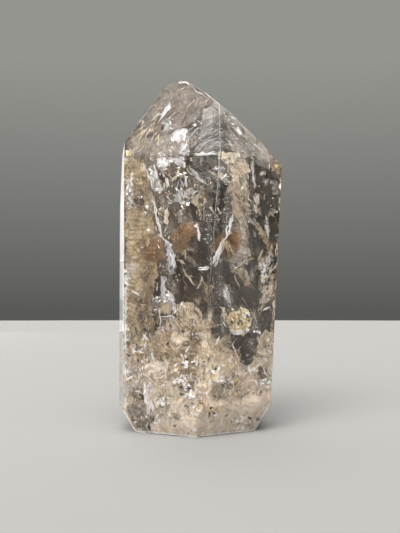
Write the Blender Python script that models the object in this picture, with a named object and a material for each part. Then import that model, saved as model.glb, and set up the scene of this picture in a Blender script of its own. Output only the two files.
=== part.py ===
"""Crackle quartz point: one upright, polished crystal of clear quartz with an uneven tip.

The crystal is a single convex solid. It is what is left of a block after it has been cut by the
flat faces named below: seven sides of the stem, a slanted foot face under each side, and the tip
faces that meet at the point. The origin is on the table, under the middle of the crystal's outline.
X is to the right, Y to the back and Z up.
"""
import math

import bmesh
import bpy
from mathutils import Vector

MM = 0.001

# Directions are in degrees. An azimuth of 0 faces the front and 90 faces the right.
# The lean is how far a face looks up (+) or down (-).
# The reach is the distance in mm from the stem's axis, at table height, to the plane of the face.
# The foot height is how far up that side, in mm, its slanted foot face begins.
STEM_SIDES = {
    "left": (-80, 0, 20.1, 4.5),
    "front_left": (-32, 2, 19.3, 4.5),
    "front_right": (35, -3, 15.8, 6.5),
    "right": (47, -2, 15.9, 6.5),
    "back_right": (93, -3, 12.4, 5.5),
    "back": (150, -1, 16.0, 5.0),
    "back_left": (-148, -0.5, 12.0, 5.0),
}
FOOT_SLOPE = 30

# Azimuth, lean and reach of the faces of the tip.
TIP_FACES = {
    "left_shoulder": (-78, 8, 28.4),
    "front": (-29, 36, 48.7),
    "front_right": (36, 33.5, 47.7),
    "right_shoulder": (47, 24, 40.0),
    "back_left": (-117, 17, 33.0),
    "back": (187, 47, 60.2),
    "back_right": (91, 44, 51.5),
}

# The very point is worn flat, and a chip is missing where both front tip faces meet the back right one.
WORN_POINT_HEIGHT = 80.0
CHIP_DIRECTION = (70, 50)
CHIP_DEPTH = 0.45

# Every edge is polished to a narrow flat this wide.
EDGE_WIDTH = 0.22

ROUGH_BLOCK_SIZE = 200.0
SHORTEST_EDGE = 0.02

QUARTZ_COLOUR = (0.72, 0.66, 0.57, 1.0)
QUARTZ_ROUGHNESS = 0.04
QUARTZ_IOR = 1.544


def clear_scene():
    for obj in list(bpy.data.objects):
        bpy.data.objects.remove(obj, do_unlink=True)


def outward(azimuth, lean):
    """The unit direction that a face looks in."""
    turn = math.radians(azimuth)
    rise = math.radians(lean)
    level = math.cos(rise)
    return Vector((level * math.sin(turn), -level * math.cos(turn), math.sin(rise)))


def face_plane(azimuth, lean, reach):
    """A plane as its outward direction and its distance from the axis point on the table."""
    return outward(azimuth, lean), reach


def foot_plane(azimuth, lean, reach, foot_height):
    """The slanted face that meets one stem side at its foot height."""
    rise = math.radians(lean)
    slope = math.radians(FOOT_SLOPE)
    level_distance = (reach - foot_height * math.sin(rise)) / math.cos(rise)
    distance = level_distance * math.cos(slope) - foot_height * math.sin(slope)
    return outward(azimuth, -FOOT_SLOPE), distance


def main_planes():
    planes = [(Vector((0, 0, -1)), 0.0), (Vector((0, 0, 1)), WORN_POINT_HEIGHT)]
    for azimuth, lean, reach, foot_height in STEM_SIDES.values():
        planes.append(face_plane(azimuth, lean, reach))
        planes.append(foot_plane(azimuth, lean, reach, foot_height))
    for azimuth, lean, reach in TIP_FACES.values():
        planes.append(face_plane(azimuth, lean, reach))
    return planes


def rough_block():
    bm = bmesh.new()
    bmesh.ops.create_cube(bm, size=ROUGH_BLOCK_SIZE)
    return bm


def cut(bm, direction, distance):
    """Take away everything beyond a plane and close the wound with one flat face."""
    geometry = bm.verts[:] + bm.edges[:] + bm.faces[:]
    result = bmesh.ops.bisect_plane(
        bm, geom=geometry, dist=1e-6, plane_co=direction * distance, plane_no=direction, clear_outer=True)
    rim = [item for item in result["geom_cut"] if isinstance(item, bmesh.types.BMEdge)]
    open_rim = [edge for edge in rim if edge.is_boundary]
    if open_rim:
        bmesh.ops.contextual_create(bm, geom=open_rim)
    bm.normal_update()


def chip_plane(bm):
    """A small cut across the corner where the front, front right and back right tip faces meet."""
    faces = [face_plane(*TIP_FACES[name]) for name in ("front", "front_right", "back_right")]

    def gap_to_faces(vert):
        return sum(abs(vert.co.dot(direction) - distance) for direction, distance in faces)

    corner = min(bm.verts, key=gap_to_faces).co
    direction = outward(*CHIP_DIRECTION)
    return direction, corner.dot(direction) - CHIP_DEPTH


def edge_planes(bm):
    """One plane for each edge, set in just far enough to leave a flat of the wanted width."""
    planes = []
    for edge in bm.edges:
        first, second = (face.normal for face in edge.link_faces)
        turn = first.angle(second)
        direction = (first + second).normalized()
        depth = EDGE_WIDTH / 2 * math.tan(turn / 2)
        planes.append((direction, edge.verts[0].co.dot(direction) - depth))
    return planes


def move_over_origin(bm):
    """Bring the middle of the outline, seen from above, over the origin."""
    for axis in (0, 1):
        positions = [vert.co[axis] for vert in bm.verts]
        middle = (min(positions) + max(positions)) / 2
        for vert in bm.verts:
            vert.co[axis] -= middle


def crystal_mesh():
    bm = rough_block()
    for direction, distance in main_planes():
        cut(bm, direction, distance)
    cut(bm, *chip_plane(bm))
    for direction, distance in edge_planes(bm):
        cut(bm, direction, distance)
    bmesh.ops.remove_doubles(bm, verts=bm.verts[:], dist=SHORTEST_EDGE)
    move_over_origin(bm)
    bmesh.ops.scale(bm, vec=(MM, MM, MM), verts=bm.verts[:])
    bmesh.ops.recalc_face_normals(bm, faces=bm.faces[:])
    mesh = bpy.data.meshes.new("crystal")
    bm.to_mesh(mesh)
    bm.free()
    return mesh


def quartz_material():
    material = bpy.data.materials.new("clear_quartz")
    material.use_nodes = True
    shader = material.node_tree.nodes["Principled BSDF"]
    shader.inputs["Base Color"].default_value = QUARTZ_COLOUR
    shader.inputs["Roughness"].default_value = QUARTZ_ROUGHNESS
    shader.inputs["Metallic"].default_value = 0.0
    shader.inputs["IOR"].default_value = QUARTZ_IOR
    shader.inputs["Transmission Weight"].default_value = 1.0
    material.diffuse_color = QUARTZ_COLOUR
    return material


def build_crystal():
    crystal = bpy.data.objects.new("crystal", crystal_mesh())
    crystal.data.materials.append(quartz_material())
    bpy.context.scene.collection.objects.link(crystal)


clear_scene()
build_crystal()
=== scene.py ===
import math
import random

import bmesh
import bpy
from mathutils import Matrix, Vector, geometry, noise


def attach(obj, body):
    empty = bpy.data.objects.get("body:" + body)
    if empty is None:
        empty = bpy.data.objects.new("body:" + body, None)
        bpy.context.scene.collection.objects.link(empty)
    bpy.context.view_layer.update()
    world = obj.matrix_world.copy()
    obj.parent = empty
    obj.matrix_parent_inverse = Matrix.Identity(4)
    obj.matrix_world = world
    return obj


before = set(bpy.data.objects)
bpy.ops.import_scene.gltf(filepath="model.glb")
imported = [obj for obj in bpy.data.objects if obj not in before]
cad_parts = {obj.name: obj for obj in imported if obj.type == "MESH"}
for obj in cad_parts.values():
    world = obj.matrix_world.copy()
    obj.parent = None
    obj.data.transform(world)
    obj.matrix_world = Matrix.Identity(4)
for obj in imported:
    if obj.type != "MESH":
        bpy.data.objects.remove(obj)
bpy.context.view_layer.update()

MM = 0.001

# The photo's frame, and the camera that was fitted to the crystal's corners in it.
PHOTO_WIDTH = 400
PHOTO_HEIGHT = 533
FOCAL_PIXELS = 800.0
SENSOR_MM = 36.0
CAMERA_PLACE = Vector((0.0003, -0.1816, 0.0261))
CAMERA_TILT = math.radians(3.16)
CAMERA_CLIP = (0.01, 50.0)

QUARTZ_IOR = 1.544
GAP_IOR = 1 / QUARTZ_IOR
SMOKE_COLOUR = (0.74, 0.66, 0.57, 1)
SMOKE_DENSITY = 34.0

# Flat parts whose directions agree to so many decimals are one face. Faces smaller than this, in
# square metres, are only the narrow flats along the edges.
SAME_WAY_DECIMALS = 2
MAIN_FACE_AREA = 8e-6

# A ray that slopes less than this to a face never meets it. Inside the crystal a ray is followed
# from this far below the surface, in metres.
PARALLEL = 1e-9
JUST_INSIDE = 1e-5

# How the films keep inside the crystal: the least depth along the line of sight, the least distance
# of a chip from any face, both in mm, and the share of the way through to the back.
LEAST_DEPTH = 0.15
LEAST_GAP = 0.2
SAFE_SHARE = 0.94

# A pixel just outside the crystal is pulled towards its plate's middle in so many short steps.
PULL_STEPS = 8
PULL_SHARE = 0.01

# Edges of plates, in photo pixels: the distance between corners, and how far a corner may be moved,
# which grows with the plate's size.
CORNER_SPACING = 2.4
JAG_LEAST = 0.4
JAG_MOST = 2.2
JAG_GROWTH = 0.09

# Insides of plates: their tilt and roughness, both of which depend on the size, the distance between
# grid points in pixels, the share of it by which each is moved, and how near two points are one.
PLATE_TILT = 0.5
PLATE_ROUGH = 0.15
PLATE_ROUGH_GROWTH = 0.012
GRID_SPACING = 2.0
GRID_SHIFT = 0.3
SAME_PLACE = 1e-4

# Ripples of plates: smooth waves, and ribs around the rib centre, which is moved by up to the rib
# shift. Each surface takes its own part of the noise, up to the last of the patterns.
WAVE_FINENESS = 0.12
RIB_CENTRE = (200, 250)
RIB_SHIFT = (90, 170)
RIB_TURN = 1.7
RIB_FINENESS = 1.3
RIB_BEND = 4
RIB_SHARE = 0.25
PATTERNS = 50

# Streaks: the distance between points in pixels and the least number of parts, the share of the
# width that is left at the ends, and the fineness and strength of the noise in their width, course
# and depth. The depth has a row of noise for each side, numbered -1, 0 and 1.
STREAK_STEP = 1.5
STREAK_PARTS = 4
STREAK_END = 0.2
SWELL_FINENESS = 0.25
SWELL_ROW = 0
SWELL = 0.7
SWAY_FINENESS = 0.18
SWAY_ROW = 5
LEVEL_FINENESS = 0.4
LEVEL_CHANGE = 0.3

# Cracks are splintered into strands about this wide, which start and stop within these shares of
# the path. They sway by so many pixels, which grows with the width up to a share of the length.
STRAND_WIDTH = 0.9
SWAY_LEAST = 0.8
SWAY_GROWTH = 0.5
SWAY_MOST = 0.07
STRAND_PARTS = 6
STRAND_START = (0, 0.25)
STRAND_STOP = (0.75, 1)
STRAND_SWELL = (0.9, 1.6)
STRAND_DEPTH = (-0.1, 0.3)
STRAND_TILT = 0.3

# Small cracks of a bundle: how their length varies and how far they turn, in radians.
BUNDLE_LENGTH = (0.5, 1)
BUNDLE_CURL = (-0.5, 0.5)
BUNDLE_TILT = 0.6
BUNDLE_PARTS = 3

# Ribs of a fan: where they start and stop, how unevenly they spread, how far they bow, and their
# widths and depths.
FAN_START = (0, 0.4)
FAN_STOP = (0.4, 1)
FAN_SPREAD = (-0.4, 0.4)
FAN_BOW = (-0.15, 0.15)
FAN_TILT = 0.5
FAN_WIDTHS = (0.5, 1.4)
FAN_DEPTHS = (0.8, 2)

# Splinters and chips have so many corners, uneven in reach.
CORNERS = (5, 8)
SPLINTER_STRETCH = (0.3, 0.9)
SPLINTER_TURN = (-0.3, 0.3)
SPLINTER_REACH = (0.55, 1.15)
SPLINTER_TILT = 0.15
SPLINTER_ROUGH = 0.1
SPLINTER_ROUGH_GROWTH = 0.03
SPLINTER_GRID = 1.2
SPLINTER_ROWS = 5
CHIP_STRETCH = (0.3, 1.0)
CHIP_CURL = (-0.5, 0.5)
CHIP_REACH = (0.5, 1.3)
CHIP_RINGS = (0.5, 1.0)
CHIP_DENT = 0.10

# Plates of these films are broken into splinters as well, one to so many square pixels, in a layer
# so many mm thick. Their own film has this share in the mix.
CRISP_FILMS = ("white", "cream", "pearl", "lilac", "gold")
CRISP_OWN = 3
CRISP_MIX = {"silver": 2, "brown": 1}
CRISP_AREA = 12
CRISP_SIZES = (1.2, 3.5)
CRISP_AIM = (70, 40)
CRISP_LAYER = 0.5

# Stains, spots and milky sheets aren't tilted. The ripples of stains and sheets are this strong.
LEVEL = (0, 0)
SOFT_ROUGH = 0.3

SEED = 7

# The two ways in which a film thins out, gradually or in small holes with clear edges:
# the fineness of the pattern, and the values between which it goes from thin to whole.
SOFT = (330, 0.28, 0.62)
LACY = (800, 0.42, 0.52)

# What the films inside the crystal look like: light and shaded colour, how much of the film
# is there, its gloss, how strongly it thins out and in which way.
FILMS = {
    # Besides white cracks, this film paints highlights and glints: along edges, as bright spots and sparkles,
    # and on the lower rim.
    "bright": ((1.0, 1.0, 1.0), (0.95, 0.94, 0.97), 1.0, 0.20, 0.15, LACY),
    "white": ((1.0, 0.99, 1.0), (0.86, 0.84, 0.88), 1.0, 0.25, 0.6, LACY),
    "silver": ((0.95, 0.95, 0.98), (0.66, 0.66, 0.70), 0.95, 0.80, 0.6, LACY),
    # Pale cracks; their cool lilac tint is a painted highlight.
    "lilac": ((0.82, 0.80, 0.85), (0.42, 0.40, 0.43), 0.90, 0.30, 0.6, LACY),
    "cream": ((0.92, 0.83, 0.66), (0.56, 0.44, 0.31), 0.95, 0.25, 0.6, LACY),
    "pearl": ((0.46, 0.47, 0.44), (0.24, 0.25, 0.22), 0.80, 0.35, 0.5, SOFT),
    # A dark veil of painted shade: it stands in for the dark surroundings seen through the clear quartz.
    "smoke": ((0.08, 0.083, 0.073), (0.04, 0.04, 0.035), 0.55, 0.15, 0.4, SOFT),
    "tan": ((0.64, 0.52, 0.35), (0.30, 0.22, 0.12), 0.75, 0.12, 0.5, SOFT),
    "beige": ((0.87, 0.75, 0.60), (0.48, 0.38, 0.27), 0.85, 0.15, 0.4, SOFT),
    "milk": ((0.94, 0.84, 0.71), (0.66, 0.56, 0.44), 0.85, 0.15, 0.4, SOFT),
    "shade": ((0.17, 0.135, 0.10), (0.10, 0.08, 0.055), 0.50, 0.04, 0.5, SOFT),
    "pinkish": ((0.60, 0.51, 0.46), (0.32, 0.26, 0.23), 0.80, 0.20, 0.5, SOFT),
    "tip": ((0.39, 0.325, 0.265), (0.20, 0.16, 0.125), 0.60, 0.10, 0.4, SOFT),
    "gold": ((1.0, 0.87, 0.53), (0.62, 0.43, 0.19), 0.95, 0.30, 0.3, LACY),
    "rust": ((0.31, 0.18, 0.085), (0.16, 0.09, 0.04), 0.60, 0.03, 0.6, SOFT),
    "brown": ((0.18, 0.125, 0.085), (0.06, 0.042, 0.028), 0.80, 0.04, 0.5, SOFT),
    "dark": ((0.035, 0.026, 0.02), (0.014, 0.011, 0.009), 0.92, 0.03, 0.4, SOFT),
    # As patches this dark film is painted shade, standing in for the dark surroundings seen through the
    # quartz; as fine streaks it colours dark cracks.
    "dusk": ((0.082, 0.065, 0.05), (0.035, 0.028, 0.02), 0.78, 0.04, 0.4, SOFT),
}

# Noise in the materials: scale, detail, roughness, stretch along the stem and swirl. The veil's
# scale is the fineness of each film's pattern.
CLOUDS = (420, 6, 0.7, 0.45, 0.8)
FILM_GRAIN = (900, 4, 0.7, 0.4, 0.5)
VEIL = (6, 0.68, 0.5, 0.6)
GAP_GRAIN = (1300, 3)
POLISH = (240, 4)
QUARTZ_GRAIN = (260, 2)

# The noise values between which a change begins and is complete, the strength of bumps and their
# height in metres, how rough the surfaces are, and the share of milky light that comes through.
CLOUD_EDGES = (0.38, 0.60)
POLISH_EDGES = (0.55, 0.75)
FILM_BUMP = (0.8, 0.0003)
GAP_BUMP = (0.35, 0.0002)
QUARTZ_BUMP = (0.03, 0.0002)
FILM_ROUGHNESS = 0.15
GAP_ROUGHNESS = 0.04
QUARTZ_ROUGHNESS = 0.03
THROUGH_SHARE = 0.4

# Soft bright patches of the studio: direction, sharpness and strength.
GLOWS = [
    ((0.0, -0.45, 0.9), 14, 18.0),
    ((-0.25, -0.82, 0.51), 16, 46.0),
    ((-0.1, 0.5, 0.85), 24, 8.0),
    ((-0.95, 0.30, 0.10), 30, 8.0),
]

# Bright cards that the left side mirrors: name, place, width and height, colour and power.
CARDS = [
    ("upper_card", (-0.32, 0.78, 0.20), (0.22, 0.22), (1.0, 0.95, 0.96), 0.16),
    ("middle_card", (-0.30, 0.78, 0.065), (0.20, 0.05), (0.96, 0.96, 1.0), 0.025),
    ("lower_card", (-0.30, 0.78, 0.02), (0.20, 0.04), (1.0, 0.97, 0.96), 0.012),
]

# The grey wall of the studio: height of the view direction and colour.
WALL = [(0.0, (0.10, 0.10, 0.095, 1)), (0.30, (0.30, 0.30, 0.28, 1))]

# The floor: its radius is in metres, and it lies so many mm under the crystal's foot.
FLOOR_COLOUR = (0.088, 0.085, 0.08, 1)
FLOOR_ROUGHNESS = 0.8
FLOOR_RADIUS = 2.0
FLOOR_CORNERS = 96
FLOOR_DROP = 0.05


def add_object(name, data):
    new_object = bpy.data.objects.new(name, data)
    bpy.context.scene.collection.objects.link(new_object)
    return new_object


def make_camera():
    data = bpy.data.cameras.new("camera")
    data.sensor_width = SENSOR_MM
    data.lens = SENSOR_MM * FOCAL_PIXELS / PHOTO_HEIGHT
    data.clip_start, data.clip_end = CAMERA_CLIP
    camera = add_object("camera", data)
    camera.location = CAMERA_PLACE
    camera.rotation_euler = (math.pi / 2 + CAMERA_TILT, 0, 0)
    bpy.context.scene.camera = camera


# Placing things by where the photo shows them

def main_faces(mesh):
    """The direction and distance of each large face, leaving out the narrow flats along the edges."""
    areas = {}
    planes = {}
    for polygon in mesh.polygons:
        key = tuple(round(part, SAME_WAY_DECIMALS) for part in polygon.normal)
        areas[key] = areas.get(key, 0) + polygon.area
        planes[key] = (polygon.normal.copy(), polygon.normal.dot(mesh.vertices[polygon.vertices[0]].co))
    return [planes[key] for key in planes if areas[key] > MAIN_FACE_AREA]


def crossing(origin, direction):
    """How far along a line it enters and leaves the crystal, and the face it enters by."""
    enter, leave, front = -math.inf, math.inf, None
    for normal, distance in crystal_faces:
        slope = direction.dot(normal)
        gap = distance - origin.dot(normal)
        if abs(slope) < PARALLEL:
            continue
        if slope < 0 and gap / slope > enter:
            enter, front = gap / slope, normal
        if slope > 0 and gap / slope < leave:
            leave = gap / slope
    return enter, leave, front


def bend(direction, normal):
    """The direction of a ray after it enters the quartz through a face."""
    cosine = -direction.dot(normal)
    inside_part = 1 - GAP_IOR * GAP_IOR * (1 - cosine * cosine)
    return (GAP_IOR * direction + (GAP_IOR * cosine - math.sqrt(inside_part)) * normal).normalized()


def seen_at(x, y, depth):
    """The point that the photo shows at pixel (x, y), depth mm below the crystal's surface."""
    right = (x - PHOTO_WIDTH / 2) / FOCAL_PIXELS
    up = (PHOTO_HEIGHT / 2 - y) / FOCAL_PIXELS
    sine, cosine = math.sin(CAMERA_TILT), math.cos(CAMERA_TILT)
    direction = Vector((right, cosine - up * sine, sine + up * cosine)).normalized()
    enter, leave, normal = crossing(CAMERA_PLACE, direction)
    if enter >= leave:
        return None
    surface = CAMERA_PLACE + direction * enter
    inner = bend(direction, normal)
    room = crossing(surface + inner * JUST_INSIDE, inner)[1]
    return surface + inner * min(max(depth, LEAST_DEPTH) * MM, room * SAFE_SHARE)


def nearest_seen(pixel, middle, depth):
    """The point at a pixel or, if that misses the crystal, at the nearest one towards the middle."""
    for step in range(PULL_STEPS):
        x, y = pixel.lerp(middle, step * PULL_SHARE)
        place = seen_at(x, y, depth)
        if place is not None:
            return place
    return None


def well_inside(point):
    return all(point.dot(normal) < distance - LEAST_GAP * MM for normal, distance in crystal_faces)


# Outlines in the photo

def sides(outline):
    """Each corner with the next one, all the way round."""
    return zip(outline, outline[1:] + outline[:1])


def inside(point, outline):
    """Whether a pixel is inside an outline."""
    x, y = point
    found = False
    for (x0, y0), (x1, y1) in sides(outline):
        if (y0 > y) != (y1 > y) and x < (x1 - x0) * (y - y0) / (y1 - y0) + x0:
            found = not found
    return found


def area(outline):
    return abs(sum(x0 * y1 - x1 * y0 for (x0, y0), (x1, y1) in sides(outline))) / 2


def extent(outline):
    """The left, right, top and bottom of an outline."""
    across, down = zip(*outline)
    return min(across), max(across), min(down), max(down)


def random_pixel(zone, rng):
    left, right, top, bottom = extent(zone)
    while True:
        point = (rng.uniform(left, right), rng.uniform(top, bottom))
        if inside(point, zone):
            return point


def between(start, end, share):
    """The pixel a share of the way from one to another."""
    return start[0] + (end[0] - start[0]) * share, start[1] + (end[1] - start[1]) * share


def part_lengths(path):
    return [math.hypot(x1 - x0, y1 - y0) for (x0, y0), (x1, y1) in zip(path, path[1:])]


def along(path, share):
    """The point a share of the way along a line through several points, and its direction."""
    lengths = part_lengths(path)
    left = share * sum(lengths)
    for start, end, length in zip(path, path[1:], lengths):
        if left <= length or (start, end) == (path[-2], path[-1]):
            way = ((end[0] - start[0]) / length, (end[1] - start[1]) / length)
            return between(start, end, min(1.0, left / length)), way
        left -= length


def scaled(outline, share):
    """The outline drawn smaller or larger around its middle."""
    middle_x = sum(p[0] for p in outline) / len(outline)
    middle_y = sum(p[1] for p in outline) / len(outline)
    return [(middle_x + (x - middle_x) * share, middle_y + (y - middle_y) * share) for x, y in outline]


def ragged(outline, rng):
    """The outline with more corners, each moved a little."""
    jag = min(JAG_MOST, JAG_LEAST + JAG_GROWTH * math.sqrt(area(outline)))
    result = []
    for start, end in sides(outline):
        count = max(1, round(math.hypot(end[0] - start[0], end[1] - start[1]) / CORNER_SPACING))
        for number in range(count):
            x, y = between(start, end, number / count)
            result.append((x + rng.uniform(-jag, jag), y + rng.uniform(-jag, jag)))
    return result


def splinter_outline(x, y, size, turn, rng):
    """An uneven pointed outline around a pixel."""
    corners = rng.randint(*CORNERS)
    stretch = rng.uniform(*SPLINTER_STRETCH)
    outline = []
    for number in range(corners):
        angle = 2 * math.pi * (number + rng.uniform(*SPLINTER_TURN)) / corners
        reach = size * rng.uniform(*SPLINTER_REACH)
        along_it = math.cos(angle) * reach
        across_it = math.sin(angle) * reach * stretch
        outline.append((x + along_it * math.cos(turn) - across_it * math.sin(turn),
                        y - along_it * math.sin(turn) - across_it * math.cos(turn)))
    return outline


# Building thin films

def add_sheet(film, places, faces):
    """Add one sheet to a film's mesh, leaving out the parts that miss the crystal."""
    kept = [face for face in faces if all(places[number] is not None for number in face)]
    index = {}
    for face in kept:
        for number in face:
            if number not in index:
                index[number] = len(film["points"])
                film["points"].append(places[number])
    film["faces"].extend([index[number] for number in face] for face in kept)


def ripple(x, y, seed):
    """A curved, ribbed height like the inside of a broken shell, between about -1 and 1."""
    wave = noise.noise(Vector((x * WAVE_FINENESS, y * WAVE_FINENESS, seed)))
    centre_x = RIB_CENTRE[0] + RIB_SHIFT[0] * math.sin(seed)
    centre_y = RIB_CENTRE[1] + RIB_SHIFT[1] * math.cos(seed * RIB_TURN)
    rib = math.sin(math.hypot(x - centre_x, y - centre_y) * RIB_FINENESS + RIB_BEND * wave)
    return (1 - RIB_SHARE) * wave + RIB_SHARE * rib


def add_plate(film, outline, depth, tilt, rough, rng, spacing=GRID_SPACING):
    """A fracture surface inside an outline. Tilt is in mm of depth per pixel right and down."""
    edge = ragged(outline, rng)
    left, right, top, bottom = extent(edge)
    points = [Vector(p) for p in edge]
    x = left
    while x < right:
        y = top
        while y < bottom:
            shift_x = rng.uniform(-GRID_SHIFT, GRID_SHIFT) * spacing
            shift_y = rng.uniform(-GRID_SHIFT, GRID_SHIFT) * spacing
            points.append(Vector((x + shift_x, y + shift_y)))
            y += spacing
        x += spacing
    loop = list(range(len(edge)))
    # The 1 asks for triangles inside the loop only.
    verts, _, faces, _, _, _ = geometry.delaunay_2d_cdt(points, [], [loop], 1, SAME_PLACE)
    middle_x, middle_y = (left + right) / 2, (top + bottom) / 2
    seed = rng.uniform(0, PATTERNS)
    places = []
    for vert in verts:
        level = depth + tilt[0] * (vert.x - middle_x) + tilt[1] * (vert.y - middle_y)
        level += rough * ripple(vert.x, vert.y, seed)
        places.append(nearest_seen(vert, Vector((middle_x, middle_y)), level))
    add_sheet(film, places, faces)


def wander(distance, fineness, seed, row):
    """Smooth noise along a line, between about -1 and 1."""
    return noise.noise(Vector((distance * fineness, seed, row)))


def add_streak(film, path, width, depth, tilt, rng, shift=0.0, sway=0.0):
    """A long thin crack. Width, shift to the side and sway are in pixels, tilt in mm of depth across it."""
    length = sum(part_lengths(path))
    steps = max(STREAK_PARTS, round(length / STREAK_STEP))
    places, faces = [], []
    seed = rng.uniform(0, PATTERNS)
    for number in range(steps + 1):
        share = number / steps
        distance = share * length
        (x, y), (dx, dy) = along(path, share)
        taper = STREAK_END + (1 - STREAK_END) * math.sin(math.pi * share) ** 0.5
        half = width / 2 * taper * (1 + SWELL * wander(distance, SWELL_FINENESS, seed, SWELL_ROW))
        beside = shift + sway * wander(distance, SWAY_FINENESS, seed, SWAY_ROW)
        for side in (-1, 0, 1):
            level = depth + tilt * side / 2 + LEVEL_CHANGE * wander(distance, LEVEL_FINENESS, seed, side)
            across = beside + half * side
            places.append(seen_at(x - dy * across, y + dx * across, level))
    for number in range(steps):
        for side in (0, 1):
            first = number * 3 + side
            faces.append((first, first + 1, first + 4))
            faces.append((first, first + 4, first + 3))
    add_sheet(film, places, faces)


def add_crack(film, path, width, depth, rng):
    """A crack that is splintered into strands side by side."""
    strands = max(1, round(width / STRAND_WIDTH))
    sway = min(SWAY_LEAST + SWAY_GROWTH * width, SWAY_MOST * sum(part_lengths(path)))
    for number in range(strands):
        shift = ((number + 0.5) / strands - 0.5) * width
        start = rng.uniform(*STRAND_START) if strands > 1 else 0
        stop = rng.uniform(*STRAND_STOP) if strands > 1 else 1
        shares = [start + (stop - start) * step / STRAND_PARTS for step in range(STRAND_PARTS + 1)]
        part = [along(path, share)[0] for share in shares]
        strand = width / strands * rng.uniform(*STRAND_SWELL)
        add_streak(film, part, strand, depth + rng.uniform(*STRAND_DEPTH), STRAND_TILT, rng, shift, sway)


def pick(films, mix, rng):
    """One of the films of a mix, by their shares."""
    return films[rng.choices(list(mix), list(mix.values()))[0]]


def add_bundle(films, mix, count, lengths, widths, aim, depths, zone, rng):
    """Many small curved cracks that run nearly the same way."""
    for _ in range(count):
        x, y = random_pixel(zone, rng)
        turn = math.radians(rng.gauss(*aim))
        length = rng.uniform(*lengths) * rng.uniform(*BUNDLE_LENGTH)
        curl = rng.uniform(*BUNDLE_CURL)
        path = []
        for _ in range(BUNDLE_PARTS + 1):
            path.append((x, y))
            x += math.cos(turn) * length / BUNDLE_PARTS
            y -= math.sin(turn) * length / BUNDLE_PARTS
            turn += curl / BUNDLE_PARTS
        film = pick(films, mix, rng)
        add_streak(film, path, rng.uniform(*widths), rng.uniform(*depths), rng.gauss(0, BUNDLE_TILT), rng)


def add_fan(films, mix, centre, reach, turns, count, rng):
    """Fine ribs that spread from the place where a fracture began."""
    for number in range(count):
        place = number + rng.uniform(*FAN_SPREAD)
        turn = math.radians(turns[0] + (turns[1] - turns[0]) * place / count)
        start = reach[0] + (reach[1] - reach[0]) * rng.uniform(*FAN_START)
        stop = start + (reach[1] - start) * rng.uniform(*FAN_STOP)
        bow = rng.uniform(*FAN_BOW)
        path = []
        for length, lean in ((start, 0), ((start + stop) / 2, bow), (stop, 2 * bow)):
            way = turn + lean
            path.append((centre[0] + math.cos(way) * length, centre[1] - math.sin(way) * length))
        film = pick(films, mix, rng)
        width, depth = rng.uniform(*FAN_WIDTHS), rng.uniform(*FAN_DEPTHS)
        add_streak(film, path, width, depth, rng.gauss(0, FAN_TILT), rng)


def add_splinters(films, mix, count, sizes, aim, depths, zone, rng):
    """Many small fracture surfaces that overlap, each tilted its own way."""
    for _ in range(count):
        x, y = random_pixel(zone, rng)
        size = sizes[0] + (sizes[1] - sizes[0]) * rng.random() ** 2
        turn = math.radians(rng.gauss(*aim))
        outline = splinter_outline(x, y, size, turn, rng)
        tilt = (rng.gauss(0, SPLINTER_TILT), rng.gauss(0, SPLINTER_TILT))
        film = pick(films, mix, rng)
        rough = SPLINTER_ROUGH_GROWTH * size + SPLINTER_ROUGH
        spacing = max(SPLINTER_GRID, size / SPLINTER_ROWS)
        add_plate(film, outline, rng.uniform(*depths), tilt, rough, rng, spacing)


def add_flake(film, centre, size, rng):
    """One small cracked chip: a bent, uneven disc turned any way."""
    normal = Vector((rng.gauss(0, 1), rng.gauss(0, 1), rng.gauss(0, 1))).normalized()
    side = normal.orthogonal().normalized()
    other = normal.cross(side)
    stretch = rng.uniform(*CHIP_STRETCH)
    corners = rng.randint(*CORNERS)
    curl = rng.uniform(*CHIP_CURL)
    places, faces = [centre], []
    reaches = [rng.uniform(*CHIP_REACH) for _ in range(corners)]
    for ring in CHIP_RINGS:
        for number in range(corners):
            turn = 2 * math.pi * number / corners
            length = size * ring * reaches[number]
            bow = curl * size * ring * ring * math.cos(turn) + size * CHIP_DENT * rng.gauss(0, 1)
            flat = side * (math.cos(turn) * length) + other * (math.sin(turn) * length * stretch)
            places.append(centre + (flat + normal * bow))
    for number in range(corners):
        following = (number + 1) % corners
        faces.append((0, 1 + number, 1 + following))
        faces.append((1 + number, 1 + corners + number, 1 + corners + following))
        faces.append((1 + number, 1 + corners + following, 1 + following))
    if all(well_inside(place) for place in places):
        add_sheet(film, places, faces)


def add_flakes(film, zone, count, sizes, depths, rng):
    for _ in range(count):
        x, y = random_pixel(zone, rng)
        centre = seen_at(x, y, rng.uniform(*depths))
        if centre is not None:
            size = sizes[0] * (sizes[1] / sizes[0]) ** (rng.random() ** 2)
            add_flake(film, centre, size * MM, rng)


# What the photo shows inside the crystal, in photo pixels.
LOW_ZONE = [(125, 340), (160, 332), (178, 316), (198, 328), (210, 342), (232, 352), (246, 366), (262, 352),
            (274, 332), (272, 402), (257, 431), (247, 433), (194, 439), (135, 433), (122, 412)]
LOW_RIGHT = [(204, 346), (232, 356), (246, 368), (262, 356), (273, 338), (272, 402), (257, 431), (206, 437)]
LOW_BASE = [(150, 398), (168, 382), (188, 394), (206, 374), (226, 392), (248, 378), (271, 394), (272, 402),
            (257, 431), (194, 438), (154, 434), (146, 412)]
HOLLOW = [(231, 335), (256, 332), (257, 351), (250, 364), (243, 365), (238, 357), (231, 347)]
TIP_SHELL = [(188, 130), (195, 121), (207, 117), (219, 118), (219, 153), (203, 155), (192, 152), (188, 143)]
LOW_RIM = [(126, 411), (150, 398), (190, 404), (230, 398), (268, 402), (256, 428), (247, 430), (194, 436),
           (136, 430)]
LOW_VEIL = [(150, 424), (162, 418), (176, 422), (190, 417), (200, 412), (216, 399), (232, 404), (246, 395),
            (262, 399), (268, 406), (256, 429), (247, 431), (194, 437), (154, 434)]
LEFT_ZONE = [(126, 160), (144, 160), (152, 200), (155, 240), (157, 262), (152, 300), (153, 336), (125, 340)]
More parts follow.
